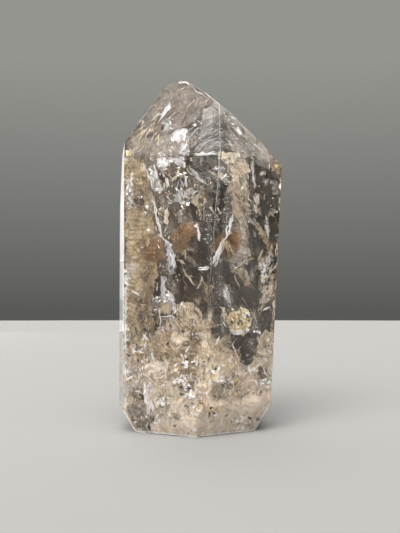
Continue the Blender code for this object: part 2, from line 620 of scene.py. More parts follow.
RIGHT_ZONE = [(254, 164), (268, 171), (281, 176), (279, 215), (276, 262), (273, 300), (270, 334), (259, 332),
              (262, 300), (262, 262), (257, 225)]

# Plates: film, depth and outline.
PLATES = [
    # the tip's large left face
    ("tip", 4.0, [(150, 112), (166, 89), (182, 82), (200, 92), (214, 102), (207, 107), (194, 123),
                  (178, 131), (174, 130), (172, 118), (160, 118), (152, 126)]),
    ("tip", 4.0, [(127, 143), (150, 112), (160, 119), (162, 131), (173, 132), (172, 143), (185, 143),
                  (185, 156), (128, 158)]),
    ("pearl", 4.5, [(161, 118), (172, 118), (174, 130), (164, 131)]),
    ("tip", 3.2, [(172, 128), (176, 123), (192, 116), (209, 107), (211, 110), (194, 122), (173, 132)]),
    ("shade", 2.0, [(134, 152), (144, 147), (151, 149), (149, 158), (135, 158)]),
    ("white", 1.0, [(171, 141), (173, 133), (180, 129), (186, 129), (185, 140), (178, 142)]),
    ("lilac", 1.0, [(178, 144), (186, 143), (186, 155), (180, 154)]),
    ("pearl", 1.5, [(186, 129), (189, 129), (189, 155), (186, 155)]),
    ("gold", 1.2, [(126, 151), (131, 149), (132, 156), (127, 157)]),
    # the see-through shell between the ridge line and the front edge, darkened with a veil of painted shade
    ("smoke", 3.5, TIP_SHELL),
    # the tip's right faces
    ("tip", 4.0, [(222, 109), (232, 116), (256, 142), (251, 156), (222, 151)]),
    # a veil of painted shade
    ("smoke", 5.0, [(222, 109), (232, 116), (258, 143), (254, 157), (222, 152)]),
    ("tip", 2.0, [(254, 159), (261, 145), (279, 162), (270, 165)]),
    # the broken band under the tip
    ("cream", 1.5, [(220, 153), (228, 151), (238, 154), (237, 161), (228, 164), (221, 160)]),
    ("dusk", 2.5, [(187, 158), (205, 158), (206, 170), (196, 172), (188, 166)]),
    ("white", 1.0, [(158, 159), (168, 158), (169, 165), (163, 164), (158, 168)]),
    ("lilac", 1.0, [(169, 158), (185, 158), (185, 168), (180, 166), (172, 160)]),
    ("brown", 1.6, [(170, 162), (178, 165), (178, 170), (172, 172)]),
    ("dusk", 3.0, [(173, 179), (185, 176), (185, 190), (175, 190)]),
    ("pearl", 3.5, [(148, 166), (154, 166), (160, 187), (154, 190)]),
    ("white", 1.5, [(153, 191), (156, 189), (161, 187), (163, 191)]),
    ("brown", 3.0, [(154, 192), (162, 191), (173, 195), (174, 198), (169, 202), (168, 208), (158, 209)]),
    ("pearl", 2.0, [(168, 201), (174, 195), (180, 189), (193, 189), (190, 198), (188, 205), (178, 203),
                    (170, 205)]),
    ("tan", 2.0, [(192, 197), (200, 194), (206, 198), (204, 207), (197, 208), (192, 204)]),
    ("beige", 2.0, [(164, 210), (168, 208), (169, 224), (164, 224)]),
    ("brown", 4.0, [(169, 207), (188, 207), (186, 224), (170, 226)]),
    ("pearl", 2.0, [(178, 211), (182, 209), (181, 222), (178, 224)]),
    ("dark", 3.0, [(186, 202), (199, 200), (199, 221), (187, 221)]),
    ("dusk", 6.0, [(184, 198), (202, 198), (202, 224), (184, 224)]),
    ("pinkish", 3.0, [(231, 232), (246, 220), (250, 260), (238, 268), (228, 252)]),
    ("tan", 3.0, [(197, 207), (202, 207), (202, 220), (197, 220)]),
    # the pinkish fog behind the right front face
    ("beige", 2.4, [(228, 163), (245, 160), (247, 176), (247, 194), (250, 214), (240, 218), (232, 215),
                    (232, 190)]),
    ("cream", 1.5, [(238, 175), (245, 174), (247, 184), (245, 192), (240, 190), (237, 182)]),
    ("cream", 1.5, [(218, 171), (222, 174), (230, 184), (222, 180), (218, 177)]),
    ("dusk", 3.5, [(246, 162), (250, 163), (253, 200), (254, 219), (250, 218), (249, 190)]),
    ("dark", 3.0, [(219, 183), (229, 184), (229, 188), (224, 190), (224, 215), (222, 232), (219, 232)]),
    # two veils of painted shade
    ("smoke", 4.0, [(223, 188), (232, 188), (232, 214), (228, 229), (223, 230)]),
    ("smoke", 9.0, [(197, 212), (219, 206), (221, 250), (219, 306), (204, 306), (200, 250)]),
    # the dark middle, darkened with painted shade
    ("dusk", 7.0, [(180, 246), (196, 226), (206, 244), (205, 303), (180, 300), (174, 274)]),
    ("dusk", 5.0, [(151, 252), (158, 250), (166, 276), (162, 308), (152, 308)]),
    ("dark", 5.0, [(222, 262), (230, 261), (230, 283), (222, 283)]),
    ("dusk", 6.0, [(230, 284), (250, 286), (259, 270), (259, 306), (246, 308), (232, 304)]),
    ("dusk", 6.0, [(216, 306), (228, 304), (229, 336), (218, 340), (206, 330)]),
    ("dusk", 6.0, [(249, 224), (258, 226), (266, 246), (268, 266), (250, 268), (247, 250)]),
    ("tan", 2.5, [(236, 268), (241, 267), (246, 271), (250, 284), (245, 285), (239, 276)]),
    ("pearl", 2.0, [(222, 289), (227, 286), (231, 300), (228, 304)]),
    ("lilac", 1.2, [(165, 240), (170, 242), (175, 256), (176, 274), (170, 274), (167, 254)]),
    ("lilac", 1.4, [(161, 276), (166, 278), (166, 303), (161, 303)]),
    ("lilac", 1.2, [(167, 291), (172, 292), (176, 311), (170, 310)]),
    # a veil of painted shade
    ("smoke", 2.5, [(165, 278), (171, 278), (170, 287), (165, 287)]),
    ("tan", 2.5, [(160, 303), (170, 302), (170, 314), (160, 314)]),
    # the right side, darkened with painted shade
    ("dusk", 3.0, RIGHT_ZONE),
    ("dusk", 6.0, RIGHT_ZONE),
    ("pearl", 1.5, [(269, 180), (277, 181), (279, 195), (274, 195)]),
    ("cream", 1.2, [(254, 193), (259, 195), (258, 208), (256, 219), (254, 205)]),
    ("tan", 1.5, [(255, 222), (260, 224), (266, 233), (272, 247), (273, 264), (269, 264), (266, 248),
                  (259, 234)]),
    ("white", 1.2, [(266, 215), (269, 222), (270, 240), (267, 236), (265, 225)]),
    ("white", 1.2, [(261, 270), (266, 269), (266, 278), (262, 284)]),
    ("cream", 1.2, [(273, 302), (276, 302), (276, 318), (273, 318)]),
    # the left column
    ("tan", 3.5, LEFT_ZONE),
    ("tan", 6.5, LEFT_ZONE),
    ("pearl", 1.5, [(127, 178), (131, 177), (132, 203), (131, 209), (127, 206)]),
    ("white", 1.0, [(130, 176), (132, 172), (133, 190), (132, 206), (130, 205)]),
    ("brown", 1.5, [(135, 186), (142, 185), (143, 192), (137, 194)]),
    ("brown", 1.5, [(135, 201), (142, 199), (144, 208), (137, 210)]),
    ("pinkish", 1.5, [(126, 264), (136, 263), (136, 272), (127, 273)]),
    ("shade", 1.5, [(126, 318), (140, 310), (151, 316), (154, 336), (146, 346), (126, 346)]),
    ("shade", 2.0, [(140, 262), (151, 258), (152, 300), (144, 304)]),
    # the mound of fibres
    ("beige", 3.5, [(176, 307), (186, 302), (196, 306), (202, 318), (208, 336), (196, 341), (178, 340)]),
    # the gold pocket and the dark hollow under it
    ("gold", 2.0, [(227, 318), (234, 310), (242, 308), (251, 313), (252, 322), (246, 329), (236, 330),
                   (228, 326)]),
    ("dark", 0.9, [(239, 319), (242, 320), (242, 325), (239, 324)]),
    # The pocket's bright lower rim, a painted highlight.
    ("cream", 0.9, [(231, 327), (238, 331), (246, 328), (250, 327), (249, 332), (243, 335), (234, 335)]),
    ("cream", 1.5, [(220, 306), (224, 308), (229, 321), (226, 323)]),
    ("dark", 0.9, HOLLOW),
    ("dusk", 1.6, HOLLOW),
    ("tip", 0.6, [(247, 337), (256, 338), (256, 352), (250, 353)]),
    # the milky lower half
    ("beige", 4.0, LOW_ZONE),
    ("milk", 8.0, LOW_ZONE),
    ("tan", 1.5, [(131, 331), (146, 331), (145, 347), (132, 346)]),
    # a veil of painted shade
    ("smoke", 1.5, [(148, 331), (156, 331), (155, 342), (148, 342)]),
    ("brown", 1.2, [(126, 341), (130, 343), (130, 349), (126, 348)]),
    # a veil of painted shade
    ("smoke", 2.0, [(184, 331), (197, 331), (198, 342), (185, 343)]),
    ("milk", 2.6, [(146, 363), (166, 362), (168, 370), (164, 376), (148, 376)]),
    ("tip", 1.8, [(126, 364), (140, 363), (146, 370), (142, 378), (127, 378)]),
    ("brown", 2.0, [(132, 389), (143, 388), (145, 396), (141, 402), (133, 401)]),
    ("dark", 1.2, [(141, 394), (145, 395), (144, 400), (141, 400)]),
    ("brown", 1.8, [(131, 403), (145, 402), (145, 409), (132, 409)]),
    ("brown", 1.2, [(171, 415), (175, 412), (181, 418), (178, 420)]),
    # a veil of painted shade
    ("smoke", 1.5, [(142, 422), (152, 421), (151, 429), (143, 429)]),
    ("brown", 1.5, [(258, 367), (266, 366), (267, 379), (259, 380)]),
    ("shade", 1.2, [(211, 386), (224, 386), (225, 397), (218, 400), (212, 398)]),
    ("tan", 1.8, [(236, 418), (246, 417), (247, 425), (237, 426)]),
    ("pinkish", 1.8, [(244, 403), (254, 403), (253, 416), (245, 416)]),
    ("brown", 1.0, [(253, 419), (260, 418), (260, 421), (253, 423)]),
    ("shade", 1.5, [(126, 408), (150, 406), (154, 431), (137, 430)]),
    ("milk", 2.0, LOW_RIGHT),
    ("milk", 3.0, LOW_RIGHT),
    ("milk", 2.2, LOW_BASE),
]

# Clusters of painted glints, bright and gold chips with a few dark specks: middle, reach in pixels and how
# many.
SPARKLE_MIX = {"bright": 8, "gold": 3, "dark": 2}
SPARKLE_SIZES = (1.4, 3.4)
SPARKLE_AIM = (75, 50)
SPARKLE_DEPTHS = (0.3, 0.7)
SPARKLES = [
    ((217, 369), 7, 16), ((218, 378), 5, 12), ((176, 368), 4, 9), ((176, 380), 5, 10), ((184, 379), 6, 16),
    ((187, 386), 5, 9), ((191, 395), 5, 12), ((162, 403), 5, 10), ((185, 362), 6, 10), ((208, 382), 6, 14),
    ((236, 376), 4, 8), ((252, 370), 5, 9), ((236, 319), 6, 12), ((222, 381), 5, 9), ((137, 352), 6, 9),
    ((240, 331), 7, 12), ((229, 366), 7, 9), ((156, 420), 5, 6), ((263, 276), 6, 14), ((246, 316), 6, 9),
    ((268, 384), 4, 8), ((240, 422), 9, 12), ((214, 410), 8, 10),
]

# Soft stains, thickest in the middle: film, depth and outline. Each is drawn three times, smaller
# and deeper.
STAIN_SHARES = (1.0, 0.8, 0.6)
STAIN_LAYER = 0.5
STAINS = [
    ("rust", 1.4, [(172, 232), (182, 223), (196, 223), (197, 232), (190, 240), (184, 252), (176, 254),
                   (168, 246)]),
    ("rust", 1.4, [(213, 238), (224, 231), (240, 230), (244, 241), (238, 252), (226, 259), (214, 254)]),
    ("rust", 3.0, [(136, 240), (150, 234), (164, 237), (167, 254), (160, 262), (140, 262)]),
    ("brown", 4.0, [(130, 300), (144, 296), (150, 318), (140, 330), (130, 322)]),
]

# Streaks: film, depth, width and path.
STREAKS = [
    # the tip
    ("bright", 0.8, 4.0, [(172, 102), (168, 109), (161, 116), (158, 119)]),
    ("pinkish", 0.9, 2.0, [(158, 116), (154, 121)]),
    ("brown", 1.2, 1.4, [(172, 106), (166, 113), (160, 119)]),
    ("brown", 1.2, 0.9, [(173, 97), (186, 93)]),
    ("cream", 1.0, 1.8, [(147, 127), (144, 131), (137, 137)]),
    ("cream", 1.0, 1.8, [(153, 125), (147, 133), (144, 141)]),
    ("cream", 1.0, 1.5, [(155, 133), (152, 140), (147, 152)]),
    ("bright", 0.8, 2.2, [(169, 149), (172, 154)]),
    # Painted highlights along the right slope's edge and the worn apex.
    ("pinkish", 0.5, 1.0, [(186, 84), (200, 93), (216, 103)]),
    ("bright", 0.5, 1.2, [(178, 82), (184, 82), (190, 85)]),
    # the shell
    ("pearl", 1.5, 0.8, [(189, 141), (196, 130), (208, 122), (218, 120)]),
    ("pearl", 1.5, 0.8, [(190, 149), (199, 138), (210, 131), (219, 129)]),
    ("lilac", 1.5, 0.9, [(193, 152), (202, 144), (212, 139), (219, 137)]),
    ("pinkish", 1.5, 1.0, [(201, 153), (207, 147), (213, 144), (218, 143)]),
    ("dusk", 1.5, 0.9, [(189, 145), (198, 133), (209, 126), (219, 124)]),
    ("dusk", 1.5, 0.9, [(191, 151), (201, 141), (211, 135), (219, 133)]),
    ("bright", 1.0, 2.2, [(193, 124), (197, 126)]),
    # A painted highlight along the edge below the shell.
    ("bright", 1.0, 2.4, [(188, 151), (196, 155), (208, 154), (219, 152)]),
    # Painted shade: dark streaks just behind the edges between the faces, which darken the bright lines that
    # the edges show.
    ("shade", 0.35, 2.6, [(219, 108), (219, 130), (219, 153)]),
    ("dusk", 0.35, 2.4, [(219, 156), (215, 210), (211, 266), (205, 340)]),
    ("dusk", 0.5, 3.4, [(254, 224), (257, 300), (258, 346)]),
    # the tip's right face
    ("bright", 1.0, 1.8, [(231, 116), (237, 120)]),
    ("bright", 1.0, 2.8, [(236, 127), (239, 131), (241, 136)]),
    ("pearl", 1.2, 2.6, [(246, 138), (250, 146), (250, 155)]),
    ("pinkish", 1.2, 2.0, [(230, 136), (237, 143), (243, 150)]),
    ("cream", 1.2, 1.8, [(221, 142), (235, 148), (241, 156)]),
    ("bright", 1.0, 1.8, [(240, 150), (246, 152)]),
    ("bright", 1.0, 1.8, [(238, 152), (240, 157)]),
    ("dusk", 1.6, 1.6, [(224, 120), (233, 130), (240, 142)]),
    ("dusk", 1.6, 1.6, [(240, 126), (246, 136)]),
    # A painted highlight along the edge between the tip's right faces.
    ("pearl", 0.8, 1.2, [(259, 142), (252, 158)]),
    # the left side's borders
    # A painted highlight along the left edge.
    ("bright", 3.0, 1.2, [(124, 270), (124, 340), (124, 408)]),
    ("bright", 1.2, 1.6, [(131, 290), (136, 293), (140, 296)]),
    ("cream", 1.2, 1.4, [(146, 313), (146, 324)]),
    # the band under the tip
    ("bright", 1.2, 1.4, [(143, 162), (149, 177), (154, 191)]),
    ("bright", 1.2, 1.3, [(154, 164), (157, 176), (161, 189)]),
    ("cream", 1.0, 2.6, [(168, 174), (170, 176)]),
    ("bright", 1.0, 2.8, [(167, 177), (168, 188)]),
    ("gold", 1.0, 1.4, [(165, 182), (164, 190)]),
    ("cream", 1.0, 2.0, [(180, 168), (176, 176), (172, 184)]),
    ("bright", 1.0, 1.8, [(186, 175), (186, 188)]),
    ("bright", 1.0, 3.6, [(187, 166), (193, 173), (203, 182), (210, 187)]),
    ("pinkish", 0.8, 1.6, [(189, 168), (194, 176), (198, 180)]),
    ("bright", 1.0, 1.4, [(191, 200), (194, 193), (199, 190)]),
    # the long crack on the left front face
    ("bright", 1.2, 2.2, [(153, 194), (155, 209), (158, 223), (163, 237), (167, 243)]),
    ("lilac", 1.2, 3.4, [(166, 240), (170, 248), (172, 258), (174, 272)]),
    ("bright", 1.0, 2.2, [(168, 246), (173, 256), (175, 272)]),
    ("lilac", 1.2, 2.6, [(162, 276), (163, 290), (163, 303)]),
    ("bright", 1.0, 2.6, [(168, 291), (172, 298), (175, 311)]),
    ("bright", 1.2, 1.0, [(160, 308), (160, 330)]),
    ("bright", 1.0, 1.2, [(161, 316), (172, 316), (178, 326)]),
    ("lilac", 1.2, 1.2, [(171, 320), (174, 328), (180, 334)]),
    ("bright", 1.2, 1.8, [(198, 226), (199, 234), (199, 242)]),
    ("gold", 1.2, 1.8, [(185, 248), (186, 260)]),
    ("cream", 1.4, 2.2, [(176, 259), (181, 261), (185, 265)]),
    ("cream", 1.4, 2.0, [(182, 268), (189, 278), (195, 288)]),
    ("cream", 1.4, 1.6, [(199, 271), (202, 278), (197, 292)]),
    ("tan", 1.6, 1.4, [(203, 278), (207, 290), (207, 304)]),
    ("brown", 1.2, 2.2, [(190, 305), (197, 313), (204, 324)]),
    # the central crack on the right front face
    ("bright", 0.9, 3.0, [(233, 213), (230, 225), (227, 236), (222, 246)]),
    ("bright", 0.9, 5.0, [(226, 238), (221, 247), (217, 257), (213, 267)]),
    ("bright", 0.9, 3.0, [(210, 268), (204, 269), (198, 268)]),
    ("pinkish", 1.4, 1.2, [(212, 236), (213, 250), (222, 262)]),
    ("pinkish", 1.4, 2.6, [(246, 218), (247, 236), (246, 254)]),
    # A painted highlight along the edge between the right front face and the right side.
    ("bright", 1.0, 1.6, [(251, 160), (253, 172), (255, 186), (256, 194)]),
    ("lilac", 1.0, 2.2, [(254, 230), (255, 238)]),
    ("cream", 1.2, 1.4, [(236, 268), (241, 267), (246, 271), (250, 284)]),
    ("cream", 1.6, 1.4, [(233, 272), (237, 281), (240, 289)]),
    ("lilac", 1.2, 2.4, [(222, 284), (227, 294), (231, 303), (229, 310)]),
    ("gold", 1.2, 1.4, [(247, 261), (251, 258), (256, 259)]),
    ("pearl", 1.2, 1.2, [(250, 308), (255, 318), (259, 333)]),
    # the right side
    ("cream", 1.0, 1.6, [(279, 196), (280, 216)]),
    ("cream", 1.2, 1.8, [(277, 240), (276, 262)]),
    ("gold", 1.0, 1.2, [(271, 294), (265, 302), (257, 311)]),
    ("bright", 0.7, 3.4, [(266, 260), (264, 272), (262, 284)]),
    ("cream", 0.7, 3.4, [(274, 282), (266, 294), (256, 306)]),
    ("cream", 0.7, 2.4, [(270, 276), (272, 290), (262, 302)]),
    # the milky lower half
    ("cream", 0.6, 1.6, [(230, 334), (232, 346), (238, 357), (243, 366)]),
    ("pinkish", 1.0, 4.4, [(133, 345), (137, 350), (142, 357)]),
    ("gold", 1.0, 1.5, [(161, 356), (168, 362), (170, 370)]),
    ("cream", 0.9, 1.2, [(147, 376), (156, 378), (166, 375)]),
    ("bright", 0.9, 1.8, [(134, 384), (140, 378)]),
    ("bright", 0.4, 3.0, [(146, 380), (145, 389), (145, 394), (147, 399), (149, 406), (149, 419)]),
    ("bright", 0.4, 1.6, [(150, 400), (153, 406), (153, 411)]),
    ("lilac", 0.4, 2.2, [(151, 385), (154, 392), (156, 397)]),
    ("bright", 0.4, 3.6, [(159, 400), (162, 403), (165, 406)]),
    ("pearl", 0.9, 0.9, [(166, 387), (166, 422)]),
    ("lilac", 0.9, 1.4, [(164, 412), (164, 430)]),
    ("gold", 0.5, 5.0, [(229, 324), (231, 317), (236, 311)]),
    ("gold", 0.5, 3.0, [(233, 326), (240, 329), (247, 325)]),
    # The gold pocket's lower rim, a painted highlight.
    ("bright", 0.4, 3.4, [(230, 329), (236, 334), (244, 333), (250, 330)]),
    ("pinkish", 1.0, 5.0, [(236, 355), (241, 364), (246, 375)]),
    ("bright", 0.9, 1.0, [(262, 366), (265, 372), (268, 377)]),
    ("pinkish", 0.9, 3.6, [(253, 379), (260, 383)]),
    ("cream", 0.9, 1.8, [(214, 399), (218, 402), (224, 397)]),
    ("bright", 0.9, 2.0, [(238, 407), (240, 414)]),
    ("brown", 1.0, 1.0, [(243, 394), (240, 405)]),
    ("pearl", 1.0, 1.2, [(226, 375), (226, 388), (227, 400)]),
    ("gold", 1.0, 2.2, [(207, 409), (215, 414)]),
]

# The painted highlight of the lower rim, where the foot's edges reflect the light, drawn straight along them.
RIM_HIGHLIGHT_WIDTH = 2.2
RIM_HIGHLIGHT_DEPTH = 0.3
RIM_HIGHLIGHT = [[(120, 405), (132, 426), (136, 431)], [(136, 431), (194, 437)], [(194, 437), (247, 431), (256, 429)],
       [(256, 429), (271, 402)]]

# How deep the two milky sheets of the lowest part lie.
VEIL_DEPTHS = (1.1, 1.5)

# Small bright and dark spots: film, depth, size in pixels and places. The bright spots are painted glints.
SPOT_SIZE = (0.7, 1.2)
SPOT_ROUGH = 0.1
SPOT_GRID = 1.0
SPOTS = [
    ("bright", 0.8, 1.8, [(142, 361), (223, 366), (247, 381), (256, 381), (232, 382), (259, 333), (268, 340),
                         (148, 230), (149, 240), (134, 204), (180, 345), (183, 348), (136, 422), (163, 434),
                         (219, 433), (203, 433), (246, 432), (248, 428), (182, 418), (266, 398), (129, 208)]),
    ("bright", 0.8, 1.0, [(259, 186), (262, 192), (264, 199), (273, 198), (263, 182), (271, 206), (268, 232),
                         (130, 203), (221, 344), (217, 340), (201, 123), (124, 412), (134, 430)]),
    ("gold", 0.9, 2.0, [(184, 363), (209, 382), (221, 380), (230, 365), (269, 388), (269, 383), (187, 386),
                        (208, 410), (213, 413), (277, 166)]),
    ("rust", 0.9, 1.8, [(202, 404), (163, 344), (153, 418), (157, 421), (160, 424), (127, 232), (271, 294)]),
    ("dark", 0.7, 2.4, [(193, 364), (192, 369), (180, 371), (194, 378), (181, 387), (182, 394), (138, 361),
                        (161, 397), (157, 400), (133, 420), (128, 355), (127, 241), (145, 330), (231, 349),
                        (244, 355), (271, 168)]),
    ("dark", 0.7, 1.4, [(196, 417), (209, 416), (214, 419), (232, 421), (211, 422), (135, 204)]),
    ("lilac", 0.9, 2.0, [(201, 397), (234, 366), (270, 368), (153, 388), (155, 394), (174, 266), (229, 306),
                         (224, 340), (201, 417), (160, 174)]),
]

# Places that are filled with small things.
LOW_TOP = [(128, 332), (158, 322), (182, 300), (200, 318), (216, 334), (232, 346), (232, 362), (205, 352),
           (170, 345), (128, 350)]
WHOLE_STEM = [(127, 165), (250, 165), (274, 175), (270, 330), (127, 330)]
TIP_TOP = [(150, 116), (166, 92), (183, 83), (214, 103), (190, 118), (165, 130)]
TIP_LEFT = [(128, 144), (146, 118), (160, 120), (160, 142), (150, 156), (130, 157)]
TIP_RIGHT = [(221, 110), (232, 116), (256, 142), (250, 156), (223, 151)]
BAND_LEFT = [(155, 158), (186, 158), (186, 190), (178, 210), (160, 215), (155, 190)]
BAND_MIDDLE = [(187, 158), (222, 156), (228, 185), (205, 212), (190, 205)]
FOG_RIGHT = [(226, 155), (247, 160), (250, 220), (240, 228), (232, 200)]
CRACK_COLUMN = [(153, 195), (163, 225), (176, 260), (176, 335), (158, 335), (157, 260)]
CENTRE = [(178, 255), (208, 250), (206, 305), (178, 300)]
RIGHT_OF_CENTRE = [(226, 262), (256, 250), (258, 308), (232, 308)]
MOUND = [(176, 306), (190, 302), (205, 330), (200, 340), (178, 338)]
GOLD_POCKET = [(226, 318), (233, 310), (242, 308), (251, 313), (251, 322), (246, 331), (234, 333), (228, 326)]
RIGHT_CRACK = [(256, 258), (270, 260), (275, 290), (262, 312), (256, 312), (262, 290)]
RIGHT_STRIP = [(260, 336), (272, 334), (272, 368), (262, 368)]

# Overlapping fracture surfaces: films and their shares, how many, sizes in pixels,
# direction in degrees anticlockwise from the right and its spread, depths in mm, and place.
DARK_MIX = {"dusk": 4, "gap": 3, "brown": 2}
SPLINTERS = [
    ({"beige": 6, "tan": 1, "pinkish": 2}, 60, (7, 20), 70, 50, (2.5, 7), LOW_ZONE),
    ({"beige": 6, "cream": 2, "pearl": 1, "gap": 3, "tan": 2, "brown": 1}, 150, (3, 9), 70, 50, (1.6, 4),
     LOW_ZONE),
    # Painted highlights: bright chips near the surface of the milky part.
    ({"cream": 3, "bright": 4, "gold": 2, "silver": 3}, 80, (1.0, 3.5), 70, 50, (0.9, 1.9), LOW_ZONE),
    ({"brown": 3, "dark": 2}, 45, (1.2, 3.5), 70, 50, (0.9, 1.9), LOW_ZONE),
    ({"tan": 4, "brown": 1, "gap": 1}, 30, (5, 14), 80, 20, (1.5, 5), LEFT_ZONE),
    ({"beige": 4, "cream": 2, "pinkish": 2}, 26, (4, 12), -75, 20, (1.6, 4), FOG_RIGHT),
    ({"beige": 5, "tan": 2}, 14, (5, 12), -60, 30, (1, 4), MOUND),
    ({"dusk": 3, "brown": 2, "gap": 2, "pearl": 2, "silver": 2, "white": 1}, 30, (2, 8), -60, 40, (1, 5),
     BAND_LEFT),
    ({"dusk": 3, "brown": 2, "gap": 2, "pearl": 2, "silver": 2}, 26, (2, 8), -45, 35, (1, 5), BAND_MIDDLE),
    (DARK_MIX, 24, (5, 14), -75, 30, (3, 10), CENTRE),
    (DARK_MIX, 24, (5, 14), -65, 30, (3, 10), RIGHT_OF_CENTRE),
    ({"gold": 3, "cream": 3, "white": 1, "brown": 2}, 24, (1.2, 3.5), 20, 50, (0.8, 2), GOLD_POCKET),
    ({"cream": 3, "beige": 4, "white": 2, "dusk": 2}, 26, (2, 6), 55, 30, (1, 3), RIGHT_CRACK),
    ({"beige": 4, "cream": 2}, 20, (3, 7), 80, 30, (1.5, 4), RIGHT_STRIP),
    ({"brown": 3, "dark": 2, "gap": 3}, 40, (2, 8), 80, 30, (0.8, 2.8), RIGHT_ZONE),
    ({"milk": 3, "beige": 3, "cream": 2}, 40, (2, 7), 75, 40, (1.6, 4), LOW_TOP),
    ({"milk": 4, "pinkish": 1}, 46, (4, 13), 30, 60, (1.6, 4), LOW_RIM),
    ({"gap": 1}, 40, (5, 16), 80, 50, (6, 20), WHOLE_STEM),
]

# Small chips: film, how many, sizes and depths in mm, and place.
FLAKES = [
    ("white", 90, (0.12, 0.5), (0.5, 5.0), LOW_ZONE),
    ("silver", 90, (0.15, 0.7), (0.5, 6.0), LOW_ZONE),
    ("cream", 90, (0.2, 0.8), (0.5, 6.0), LOW_ZONE),
    ("gap", 200, (0.4, 2.2), (0.5, 8.0), LOW_ZONE),
    ("beige", 260, (0.8, 3.5), (8.0, 30.0), LOW_ZONE),
    ("gap", 160, (0.8, 3.5), (8.0, 30.0), LOW_ZONE),
    ("cream", 120, (0.4, 1.6), (12.0, 30.0), LOW_ZONE),
    ("cream", 40, (0.1, 0.4), (0.5, 5.0), LEFT_ZONE),
    ("gap", 120, (0.4, 2.5), (0.5, 20.0), WHOLE_STEM),
    ("gap", 50, (1.5, 4.5), (12.0, 30.0), WHOLE_STEM),
    ("tan", 50, (0.8, 3.0), (16.0, 30.0), WHOLE_STEM),
    ("white", 60, (0.06, 0.2), (0.5, 3.0), RIGHT_ZONE),
    ("tan", 40, (0.1, 0.3), (0.5, 3.0), RIGHT_ZONE),
]

# Bundles of small cracks: films and their shares, how many, lengths and widths in pixels,
# direction and its spread, depths in mm, and place.
BAND_MIX = {"white": 3, "cream": 3, "dusk": 4, "brown": 2, "silver": 3}
THIN_MIX = {"tan": 2, "brown": 3}
BUNDLES = [
    ({"tan": 3, "pinkish": 3, "brown": 2}, 30, (8, 22), (0.4, 1.0), 35, 14, (0.8, 4), TIP_TOP),
    ({"cream": 3, "gold": 2, "tan": 3, "brown": 4}, 46, (6, 18), (0.5, 1.4), 62, 12, (1.2, 4), TIP_LEFT),
    ({"silver": 3, "cream": 3, "pearl": 3, "dusk": 4}, 44, (5, 20), (0.4, 1.2), -47, 12, (1.2, 4), TIP_RIGHT),
    (BAND_MIX, 50, (5, 14), (0.4, 1.5), -62, 30, (1.4, 4), BAND_LEFT),
    (BAND_MIX, 46, (5, 16), (0.4, 1.5), -42, 25, (1.4, 4), BAND_MIDDLE),
    ({"cream": 4, "pinkish": 3, "bright": 3, "brown": 4}, 130, (4, 14), (0.4, 1.2), -70, 22, (1.0, 3),
     FOG_RIGHT),
    ({"brown": 4, "tan": 2, "cream": 1, "dark": 3}, 80, (3, 12), (0.4, 1.3), 80, 30, (0.8, 2.5), RIGHT_ZONE),
    ({"cream": 2, "tan": 2, "brown": 3}, 90, (4, 12), (0.4, 1.2), 80, 25, (1.4, 3), LEFT_ZONE),
    ({"white": 5, "silver": 3, "lilac": 3, "dusk": 4}, 60, (4, 14), (0.4, 1.3), -78, 14, (0.8, 4),
     CRACK_COLUMN),
    ({"cream": 4, "bright": 3, "beige": 4, "brown": 1}, 90, (4, 13), (0.7, 2.2), 58, 18, (0.9, 2),
     RIGHT_CRACK),
    ({"cream": 3, "beige": 3, "brown": 3, "bright": 2}, 150, (2, 7), (0.4, 1.3), -62, 30, (0.8, 2.5), MOUND),
    ({"pearl": 4, "lilac": 2, "dusk": 2}, 80, (7, 20), (0.4, 0.8), 35, 14, (1, 3), TIP_SHELL),
    ({"brown": 3, "tan": 3, "pinkish": 2}, 34, (2, 8), (0.5, 1.4), 70, 40, (0.3, 0.7), HOLLOW),
    (THIN_MIX, 16, (5, 14), (0.3, 0.8), -65, 20, (1, 6), CENTRE),
    (THIN_MIX, 16, (5, 14), (0.3, 0.8), -65, 20, (1, 6), RIGHT_OF_CENTRE),
    ({"cream": 5, "beige": 3, "white": 2, "brown": 3}, 200, (4, 14), (0.4, 1.2), 75, 45, (1.2, 3),
     LOW_ZONE),
    ({"bright": 5, "cream": 3, "gold": 2, "lilac": 2}, 200, (3, 12), (0.6, 2.0), 80, 35, (0.7, 1.7),
     LOW_ZONE),
    ({"brown": 3, "dark": 1}, 70, (3, 9), (0.5, 1.4), 80, 40, (0.7, 1.7), LOW_ZONE),
]

# Fans of pale ribs: centre, inner and outer reach, first and last direction, and how many.
PALE_RIBS = {"cream": 3, "beige": 3, "milk": 3, "tan": 2}
FANS = [
    ((171, 353), (3, 20), (15, 175), 26),
    ((150, 350), (3, 18), (40, 140), 20),
    ((212, 352), (3, 20), (40, 140), 20),
    ((264, 356), (3, 22), (60, 120), 14),
    ((190, 336), (3, 26), (30, 150), 40),
    ((214, 362), (3, 22), (20, 160), 26),
    ((224, 232), (6, 26), (262, 300), 20),
    ((236, 398), (3, 22), (20, 120), 24),
]


# Materials

def new_material(name):
    material = bpy.data.materials.new(name)
    material.use_nodes = True
    material.node_tree.nodes.clear()
    return material, material.node_tree


def add_node(tree, kind, inputs):
    """A new node. Each input is a value or, where it is another node's output, is linked to that."""
    node = tree.nodes.new("ShaderNode" + kind)
    for name, value in inputs.items():
        if isinstance(value, bpy.types.NodeSocket):
            tree.links.new(value, node.inputs[name])
        else:
            node.inputs[name].default_value = value
    return node


def noise_node(tree, scale, detail, roughness=0.6, stretch=1.0, swirl=0.0):
    """Cloudy noise; a stretch below one draws it out along the stem."""
    place = add_node(tree, "TexCoord", {}).outputs["Object"]
    drawn = add_node(tree, "Mapping", {"Vector": place, "Scale": (1, 1, stretch)}).outputs["Vector"]
    texture = add_node(tree, "TexNoise", {"Vector": drawn, "Scale": scale, "Detail": detail,
                                          "Roughness": roughness, "Distortion": swirl})
    return texture.outputs["Fac"]


